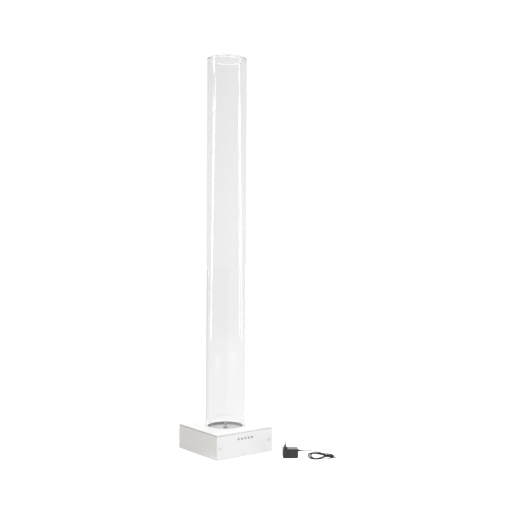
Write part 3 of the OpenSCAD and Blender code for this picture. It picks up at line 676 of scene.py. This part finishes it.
def front_frame(y, z, flip=1):
    """Frame for a plate that stands up: its x runs along X, its y up, its thickness along -Y (flip 1) or +Y (flip -1)."""
    if flip > 0:
        return Matrix(((1, 0, 0, 0), (0, 0, -1, y * MM), (0, 1, 0, z * MM), (0, 0, 0, 1)))
    return Matrix(((-1, 0, 0, 0), (0, 0, 1, y * MM), (0, 1, 0, z * MM), (0, 0, 0, 1)))


def side_frame(x, flip):
    if flip > 0:
        return Matrix(((0, 0, 1, x * MM), (1, 0, 0, 0), (0, 1, 0, 0), (0, 0, 0, 1)))
    return Matrix(((0, 0, -1, x * MM), (-1, 0, 0, 0), (0, 1, 0, 0), (0, 0, 0, 1)))


TOP = [(-128, -128), (128, -128), (128, 128), (-128, 128)]
top_plate = plate("top_plate_lacquered", fillet(TOP, 1.6, 5), [circle(0, 0, 75.3, 192)], 5.0, 1.1, Matrix.Translation((0, 0, 91 * MM)), WHITE, steps=4)
put(top_plate, "base", "white_lacquer", "top_plate")

long_outline = [(-128, 2), (128, 2), (128, 89.8), (-128, 89.8)]
cs = [circle(x, 45, 3.7, 32) for x in (-112, 112)]
buttons_at = [-31, -15.5, 0, 15.5, 31]
front = plate("front_panel_lacquered", long_outline, cs + [circle(x, 69, 3.3, 40) for x in buttons_at], 9.0, 1.5, front_frame(-119, 0), WHITE)
put(front, "base", "white_lacquer", "front_panel")
vents = [slot_hole(80.75 - i * 8, 24, 48, 2.5) for i in range(7)]
rear = plate("rear_panel_lacquered", long_outline, cs + vents + [circle(-60, 30, 5.6, 40)], 9.0, 0.9, front_frame(119, 0, -1), WHITE)
put(rear, "base", "white_lacquer", "rear_panel")
short_outline = [(-118.85, 2), (118.85, 2), (118.85, 89.8), (-118.85, 89.8)]
left = plate("left_panel_lacquered", short_outline, [], 9.0, 0.45, side_frame(-119, -1), WHITE)
put(left, "base", "white_lacquer", "left_panel")
right = plate("right_panel_lacquered", short_outline, [], 9.0, 0.45, side_frame(119, 1), WHITE)
put(right, "base", "white_lacquer", "right_panel")


def make_button(i, x):
    prof = [(0, -112.3), (1.6, -112.3), (1.6, -117.7), (4.4, -117.7), (4.4, -118.7), (3.0, -118.7), (3.0, -129.5), (2.2, -129.45), (0, -129.15)]
    prof = fillet(prof, [0, 0.2, 0, 0.2, 0.2, 0.1, 0.55, 0.3, 0], 3, False)
    at = Matrix.Translation((x, 0, 69)) @ Matrix(((1, 0, 0, 0), (0, 0, 1, 0), (0, -1, 0, 0), (0, 0, 0, 1)))
    ob = lathe("button_cap_%d" % i, prof, 40, False, at, [MATS["grey_button"]])
    return put(ob, "button_%d" % i, "grey_button", "button_%d" % i)


for i, x in enumerate(buttons_at, 1):
    make_button(i, x)


def make_feet():
    obs = []
    prof = fillet([(1.6, 1.6), (3.4, 1.6), (3.4, 0.0), (10.4, 0.0), (11, 3.0), (1.6, 3.0)], [0, 0.1, 0.3, 0.7, 0.1, 0], 3)
    for x in (-90, 90):
        for y in (-90, 90):
            obs.append(lathe("f%d%d" % (x, y), prof, 56, True, Matrix.Translation((x, y, 0)), [MATS["foot_rubber"]]))
    return join("rubber_feet_moulded", obs)


put(make_feet(), "base", "foot_rubber", "rubber_feet")


def make_jack():
    at = Matrix.Translation((60, 0, 30)) @ Matrix(((1, 0, 0, 0), (0, 0, 1, 0), (0, -1, 0, 0), (0, 0, 0, 1)))
    black = [MATS["black_plastic"]]
    z = 119.2
    outer = []
    while z < 127.6:  # fine thread
        outer += [(5.4, z), (5.1, z + 0.25)]
        z += 0.5
    body = [(2.85, 118.2), (5.1, 118.2)] + outer + [(5.3, 127.8), (5.3, 129.2), (5.0, 129.5), (3.2, 129.5), (2.85, 129.1)]
    a = lathe("j1", body, 56, True, at, black, 25)
    b = lathe("j2", fillet([(0, 117), (1, 117), (1, 128.5), (0, 128.5)], [0, 0.1, 0.5, 0], 3, False), 24, False, at, [MATS["pin_metal"]])
    box = plate("j3", fillet([(-7, -6), (7, -6), (7, 6), (-7, 6)], 0.8, 3), [], 14.0, 0.4,
                Matrix.Translation((60 * MM, 105 * MM, 30 * MM)) @ Matrix(((1, 0, 0, 0), (0, 0, 1, 0), (0, -1, 0, 0), (0, 0, 0, 1))), black)
    return join("dc_inlet_detailed", [a, b, box])


put(make_jack(), "base", "black_plastic", "dc_jack")


def make_jack_nut():
    at = Matrix.Translation((60, 128, 30)) @ Matrix(((1, 0, 0, 0), (0, 0, 1, 0), (0, -1, 0, 0), (0, 0, 0, 1)))
    atm = Matrix.Translation((60 * MM, 128 * MM, 30 * MM)) @ Matrix(((1, 0, 0, 0), (0, 0, 1, 0), (0, -1, 0, 0), (0, 0, 0, 1)))
    hexa = [(8 * math.cos(math.radians(60 * i)), 8 * math.sin(math.radians(60 * i))) for i in range(6)]
    return plate("inlet_nut", fillet(hexa, 0.4, 2), [circle(0, 0, 5.45, 40)], 1.5, 0.25, atm, [MATS["zinc_steel"]])


put(make_jack_nut(), "base", "zinc_steel", "jack_nut")

# ------------------------------------------------------------------ power supply

BLACK = [MATS["adapter_black"]]


def across(u0, u1, z0, z1, v0, v1, edge, radii, name):
    """A block whose outline in u and z has rounded corners, drawn along v."""
    out = fillet([(u0, z0), (u1, z0), (u1, z1), (u0, z1)], radii, 6)
    at = SUPPLY @ Matrix(((1, 0, 0, 0), (0, 0, -1, v1 * MM), (0, 1, 0, 0), (0, 0, 0, 1)))
    return plate(name, out, [], v1 - v0, edge, at, BLACK, 30, 3)


case_a = across(211, 229.4, 0, 30, -122.5, -84.5, 0.7, [6, 0.3, 0.4, 0.4], "a1")
case_b = across(229.6, 268, 0, 30, -122.5, -84.5, 0.7, [0.3, 6, 0.4, 0.4], "a2")
case = join("adapter_case_moulded", [case_a, case_b])
put(case, "power_supply", "adapter_black", "adapter_case")


def make_cover():
    def slab(u0, v0, u1, v1, z0, z1, edge, name):
        out = fillet([(u0, v0), (u1, v0), (u1, v1), (u0, v1)], 1.5, 5)
        return plate(name, out, [], z1 - z0, edge, SUPPLY @ Matrix.Translation((0, 0, z0 * MM)), BLACK, 30, 3)
    a = slab(211.6, -121.9, 267.4, -85.1, 30.0, 30.6, 0.05, "c1")
    b = slab(211, -122.5, 229.4, -84.5, 30.5, 34, 0.6, "c2")
    c = slab(229.6, -122.5, 268, -84.5, 30.5, 34, 0.6, "c3")
    # shallow raised field round the plug's foot
    d = slab(212.2, -121.3, 228.4, -85.7, 33.9, 34.3, 0.15, "c4")
    return join("adapter_cover_moulded", [a, b, c, d])


put(make_cover(), "power_supply", "adapter_black", "adapter_cover")


def rrect(cx, cy, hx, hy, r, z, n=6):
    pts = []
    for sx, sy, a0 in ((1, 1, 0), (-1, 1, 90), (-1, -1, 180), (1, -1, 270)):
        for i in range(n + 1):
            a = math.radians(a0 + 90 * i / n)
            pts.append((cx + sx * (hx - r) + r * math.cos(a), cy + sy * (hy - r) + r * math.sin(a), z))
    return pts


def make_plug_head():
    nu, vc = 221, -103.5
    rows = [(7.5, 17.5, 4.0, 34.0), (7.5, 17.5, 4.0, 35.0), (7.2, 17.2, 4.0, 35.6), (6.3, 16.4, 3.8, 38.5), (5.6, 15.7, 3.6, 40.6), (5.1, 15.2, 3.4, 41.8), (4.6, 14.7, 3.1, 42.3), (3.8, 13.9, 2.6, 42.5)]
    head = loft("h1", [rrect(nu, vc, hx, hy, r, z) for hx, hy, r, z in rows], SUPPLY, BLACK, 30)
    obs = [head]
    for v in (-9.3, 9.3):
        at = TURNED @ Matrix.Translation((nu, vc + v, 0))
        prof = fillet([(1.46, 42.0), (2.6, 42.0), (2.3, 43.0), (1.8, 44.2), (1.8, 52.5), (1.46, 52.5)], [0, 0.2, 0.4, 0.6, 0.3, 0], 3)
        obs.append(lathe("h2%d" % v, prof, 40, True, at, BLACK))
    return join("plug_head_moulded", obs)


put(make_plug_head(), "power_supply", "adapter_black", "plug_head")


def make_pins():
    obs = []
    for v in (-9.3, 9.3):
        at = TURNED @ Matrix.Translation((221, -103.5 + v, 0))
        prof = [(0, 25.2), (1.42, 25.2), (1.42, 52.55), (2.0, 52.75), (2.0, 59.6), (1.93, 60.2), (1.73, 60.7), (1.4, 61.15), (0.9, 61.4), (0, 61.5)]
        obs.append(lathe("p%d" % v, prof, 40, False, at, [MATS["pin_metal"]]))
    return join("plug_pins_turned", obs)


put(make_pins(), "power_supply", "pin_metal", "plug_pins")


def make_relief():
    at = TURNED @ Matrix.Translation((268, -103.5, 25)) @ Matrix.Rotation(math.pi / 2, 4, "Y")
    prof = [(1.25, -1.0), (4.4, -1.0), (4.4, 2.6), (4.0, 3.1)]
    for i in range(6):
        z = 3.4 + i * 2.75
        r = 3.7 - i * 0.36
        prof += [(r - 0.9, z), (r - 0.05, z + 0.25), (r, z + 0.5), (r - 0.18, z + 1.65), (r - 0.3, z + 1.85), (r - 1.0, z + 2.05)]
    prof += [(1.75, 20.2), (1.62, 21.6), (1.45, 22.0), (1.25, 22.0)]
    return lathe("strain_relief_ribbed", prof, 48, True, at, [MATS["cord_black"]], 40)


relief = put(make_relief(), "power_supply", "cord_black", "cord_relief")


def make_dc_plug():
    at = TURNED @ Matrix.Translation((388, -107, 11.3)) @ Matrix.Rotation(math.radians(-62), 4, "Z") @ Matrix.Rotation(math.radians(99.5), 4, "Y")
    black, steel = [MATS["plug_black"]], [MATS["pin_metal"]]
    prof = [(1.2, 0.2), (1.7, 0.0), (1.85, 0.4)]
    for i in range(4):
        z, r = 0.9 + i * 1.7, 2.0 + i * 0.22
        prof += [(r - 0.3, z), (r, z + 0.25), (r + 0.12, z + 1.0), (r - 0.25, z + 1.3)]
    prof += [(2.85, 8.0), (3.7, 8.0), (3.95, 8.4), (4.05, 9.0), (4.2, 10.2), (4.2, 12.0)]
    for i in range(5):
        z = 12.4 + i * 1.7
        prof += [(4.2, z), (3.9, z + 0.3), (3.9, z + 0.8), (4.2, z + 1.1)]
    prof += [(4.2, 21.6), (4.1, 23.2), (3.8, 23.8), (2.7, 24.0), (1.2, 24.0)]
    grip = lathe("d1", prof, 48, True, at, black, 40)
    sleeve = lathe("d2", [(2.3, 23.9), (2.75, 23.9), (2.75, 32.6), (2.68, 33.2), (2.5, 33.5), (2.3, 33.3)], 48, True, at, steel)
    core = lathe("d3", [(1.05, 24.0), (2.3, 24.0), (2.3, 32.8), (1.25, 32.8), (1.05, 32.6)], 48, True, at, black)
    return join("dc_plug_detailed", [grip, sleeve, core])


dc_plug = put(make_dc_plug(), "power_supply", "plug_black", "dc_plug")


def make_tie():
    """A flat coated wire tie round the neck, its two ends twisted together."""
    at = SUPPLY
    path = fillet([(-110.4, 0.9), (-97.6, 0.9), (-97.6, 9.6), (-110.4, 9.6)], 2.2, 6)
    verts, faces = [], []
    sec = [(-1.7, -0.32), (-0.6, -0.45), (0.6, -0.45), (1.7, -0.32), (1.7, 0.32), (0.6, 0.5), (-0.6, 0.5), (-1.7, 0.32)]
    m = len(path)
    for i, (v, z) in enumerate(path):
        a, b = Vector(path[i - 1]), Vector(path[(i + 1) % m])
        d = (b - a).normalized()
        nrm = Vector((d.y, -d.x))
        for du, h in sec:
            verts.append(at @ (Vector((379 + du, v + nrm.x * h, z + nrm.y * h)) * MM))
    s = len(sec)
    for i in range(m):
        for j in range(s):
            a, b = i * s + j, i * s + (j + 1) % s
            c, d = ((i + 1) % m) * s + j, ((i + 1) % m) * s + (j + 1) % s
            faces.append((a, b, d, c))
    ring = mesh_object("t1", verts, faces, [MATS["tie_black"]], 50)
    obs = [ring]
    for ph in (0, math.pi):  # the twisted ends
        pts = []
        for i in range(26):
            t = i / 25
            w = ph + t * 5.2 * math.pi
            r = 0.75 if t > 0.08 else 0.75 + (0.08 - t) * 10
            pts.append(Vector((379 - 0.4 + 1.0 * math.cos(w) * r, -110.6 - 8.0 * t * 0.9, 9.0 - 6.2 * t + 1.0 * math.sin(w) * r)))
        vs, fs = [], []
        for i, p in enumerate(pts):
            d = (pts[min(i + 1, 25)] - pts[max(i - 1, 0)]).normalized()
            x = d.cross(Vector((1, 0, 0.2))).normalized()
            y = d.cross(x)
            for j in range(8):
                a = 2 * math.pi * j / 8
                vs.append(at @ ((p + 0.62 * (x * math.cos(a) + y * math.sin(a))) * MM))
        for i in range(25):
            for j in range(8):
                k = (j + 1) % 8
                fs.append((i * 8 + j, i * 8 + k, (i + 1) * 8 + k, (i + 1) * 8 + j))
        fs += [tuple(range(8)), tuple(range(200, 208))]
        obs.append(mesh_object("t2%d" % int(ph), vs, fs, [MATS["tie_black"]], 50))
    return join("wire_tie", obs)


tie = put(make_tie(), "power_supply", "tie_black", "cord_tie")

# ------------------------------------------------------------------ stage and light


def make_floor():
    me = bpy.data.meshes.new("floor")
    s = 30.0
    me.from_pydata([(-s, -s, -0.0004), (s, -s, -0.0004), (s, s, -0.0004), (-s, s, -0.0004)], [], [(0, 1, 2, 3)])
    ob = bpy.data.objects.new("floor", me)
    m = bpy.data.materials.new("floor_look")
    m.use_nodes = True
    t = m.node_tree
    b = next(n for n in t.nodes if n.type == "BSDF_PRINCIPLED")
    b.inputs["Base Color"].default_value = (0.42, 0.42, 0.42, 1)
    b.inputs["Roughness"].default_value = 0.9
    b.inputs["Specular IOR Level"].default_value = 0.1
    b.inputs["Emission Color"].default_value = (1, 1, 1, 1)
    new = lambda kind: t.nodes.new("ShaderNode" + kind)
    path, times, coord, reach, far = (new(k) for k in ("LightPath", "Math", "TexCoord", "VectorMath", "MapRange"))
    reach.operation = "LENGTH"
    t.links.new(coord.outputs["Object"], reach.inputs[0])
    far.interpolation_type = "SMOOTHSTEP"
    for k, v in (("From Min", 1.0), ("From Max", 4.0), ("To Min", 0.43), ("To Max", 0.565)):
        far.inputs[k].default_value = v
    t.links.new(reach.outputs["Value"], far.inputs["Value"])
    # less light comes back from the floor on the lamp's left
    along, dim, both = (new(k) for k in ("VectorMath", "MapRange", "Math"))
    along.operation = "DOT_PRODUCT"
    along.inputs[1].default_value = (0.93, -0.37, 0)
    t.links.new(coord.outputs["Object"], along.inputs[0])
    dim.interpolation_type = "SMOOTHSTEP"
    for k, v in (("From Min", -0.17), ("From Max", -0.05), ("To Min", 0.0), ("To Max", 1.0)):
        dim.inputs[k].default_value = v
    t.links.new(along.outputs["Value"], dim.inputs["Value"])
    looked_at, whole = new("Math"), new("Math")  # but not where the camera sees it, straight or through the tube
    looked_at.operation = whole.operation = "MAXIMUM"
    t.links.new(path.outputs["Is Transmission Ray"], looked_at.inputs[0])
    t.links.new(path.outputs["Is Camera Ray"], looked_at.inputs[1])
    t.links.new(dim.outputs["Result"], whole.inputs[0])
    t.links.new(looked_at.outputs[0], whole.inputs[1])
    both.operation = "MULTIPLY"
    t.links.new(far.outputs["Result"], both.inputs[0])
    t.links.new(whole.outputs[0], both.inputs[1])
    times.operation = "MULTIPLY_ADD"
    times.inputs[1].default_value = 0.7
    t.links.new(path.outputs["Is Camera Ray"], times.inputs[0])
    t.links.new(both.outputs[0], times.inputs[2])
    t.links.new(times.outputs[0], b.inputs["Emission Strength"])
    tone = new("ValToRGB")
    tone.color_ramp.elements[0].position, tone.color_ramp.elements[1].position = 0.1, 1.0
    tone.color_ramp.elements[0].color, tone.color_ramp.elements[1].color = (0.2, 0.2, 0.2, 1), (0.42, 0.42, 0.42, 1)
    t.links.new(whole.outputs[0], tone.inputs["Fac"])
    t.links.new(tone.outputs["Color"], b.inputs["Base Color"])
    me.materials.append(m)
    scene.collection.objects.link(ob)
    return ob


make_floor()


def make_world():
    """Pure white where the camera looks past everything; what lights the scene is a little darker, and dark on the left."""
    w = bpy.data.worlds.new("studio")
    scene.world = w
    w.use_nodes = True
    t = w.node_tree
    t.nodes.clear()
    new = lambda kind: t.nodes.new("ShaderNode" + kind)
    out, seen, lit, mix, path, coord = (new(k) for k in ("OutputWorld", "Background", "Background", "MixShader", "LightPath", "TexCoord"))
    seen.inputs["Color"].default_value = (1, 1, 1, 1)
    seen.inputs["Strength"].default_value = 1.05
    lit.inputs["Color"].default_value = (1, 1, 1, 1)

    def lobe(direction, a, b, x, y):
        dot, ramp = new("VectorMath"), new("MapRange")
        dot.operation = "DOT_PRODUCT"
        dot.inputs[1].default_value = Vector(direction).normalized()
        t.links.new(coord.outputs["Generated"], dot.inputs[0])
        ramp.interpolation_type = "SMOOTHSTEP"
        for k, v in (("From Min", a), ("From Max", b), ("To Min", x), ("To Max", y)):
            ramp.inputs[k].default_value = v
        t.links.new(dot.outputs["Value"], ramp.inputs["Value"])
        return ramp.outputs["Result"]

    # dark to the left, and a little darker high up behind the tube
    left, top = lobe((-1, 0.3, 0), 0.0, 1.0, 0.878, 0.38), lobe((0, 0, 1), 0.0, 0.35, 0.0, -0.097)
    add = new("Math")
    add.operation, add.use_clamp = "ADD", True
    through, least = new("Math"), new("Math")  # what is seen through the tube isn't darkened
    through.operation, least.operation = "MULTIPLY", "MAXIMUM"
    through.inputs[1].default_value = 0.85
    t.links.new(path.outputs["Is Transmission Ray"], through.inputs[0])
    t.links.new(through.outputs[0], least.inputs[0])
    t.links.new(left, least.inputs[1])
    t.links.new(least.outputs[0], add.inputs[0])
    t.links.new(top, add.inputs[1])
    t.links.new(add.outputs[0], lit.inputs["Strength"])
    tint = new("ValToRGB")
    tint.color_ramp.elements[0].position, tint.color_ramp.elements[1].position = 0.45, 0.88
    tint.color_ramp.elements[0].color = (1.0, 0.95, 0.87, 1)
    t.links.new(left, tint.inputs["Fac"])
    t.links.new(tint.outputs["Color"], lit.inputs["Color"])
    t.links.new(path.outputs["Is Camera Ray"], mix.inputs[0])
    t.links.new(lit.outputs[0], mix.inputs[1])
    t.links.new(seen.outputs[0], mix.inputs[2])
    t.links.new(mix.outputs[0], out.inputs["Surface"])


make_world()


def area(name, where, target, size, size_y, power, color=(1, 1, 1)):
    d = bpy.data.lights.new(name, "AREA")
    d.shape = "RECTANGLE"
    d.size, d.size_y = size, size_y
    d.energy = power
    d.color = color
    ob = bpy.data.objects.new(name, d)
    ob.location = where
    ob.rotation_euler = (Vector(target) - Vector(where)).to_track_quat("-Z", "Y").to_euler()
    ob.visible_camera = False
    scene.collection.objects.link(ob)
    return ob


side = RIGHT.normalized()
back = Vector((FORWARD.x, FORWARD.y, 0)).normalized()


def strip(name, flip, low, high, reach, width, power):
    """A narrow upright light beside the tube. low and high are (degrees round from the camera's side, height) of its ends."""
    ends = []
    for deg, z in (low, high):
        a = math.radians(deg)
        ends.append(side * (flip * reach * math.sin(a)) - back * (reach * math.cos(a)) + Vector((0, 0, z)))
    mid = (ends[0] + ends[1]) / 2
    ob = area(name, tuple(mid), (0, 0, mid.z), width, (ends[1] - ends[0]).length, power)
    y = (ends[1] - ends[0]).normalized()
    z = Vector((mid.x, mid.y, 0))
    z = (z - z.dot(y) * y).normalized()
    x = y.cross(z)
    ob.matrix_world = Matrix(((x.x, y.x, z.x, mid.x), (x.y, y.y, z.y, mid.y), (x.z, y.z, z.z, mid.z), (0, 0, 0, 1)))
    return ob


# narrow upright lights at the sides draw the highlights on the tube
strip("strip_left", -1, (97, 0.2), (79, 1.8), 2.2, 0.16, 6)
strip("strip_left_top", -1, (78.5, 1.9), (78, 2.12), 2.2, 0.2, 1.2)
strip("strip_right", 1, (110, 0.2), (79, 1.88), 2.2, 0.16, 6)
# one broad soft light high above the camera, and one above and behind the lamp
key = area("key", (-0.6, -2.35, 2.9), (0, 0, 0.2), 2.4, 1.2, 42, (0.95, 0.96, 1.0))
key.visible_glossy = False
area("rim", (0.9, 1.4, 2.6), (0.1, 0, 0.1), 1.6, 1.6, 25)
# a low one fills the left panel
fill = area("fill", (-2.8, -0.3, 0.35), (-0.13, 0, 0.05), 1.2, 0.5, 23, (1.0, 0.985, 0.96))
fill.visible_glossy = False
fill.visible_transmission = False

scene.view_settings.view_transform = "Standard"
scene.view_settings.look = "None"
scene.cycles.max_bounces = 24
scene.cycles.transmission_bounces = 20
scene.cycles.transparent_max_bounces = 16
scene.cycles.diffuse_bounces = 5
scene.cycles.glossy_bounces = 8
scene.cycles.use_denoising = True
scene.cycles.sample_clamp_indirect = 6.0
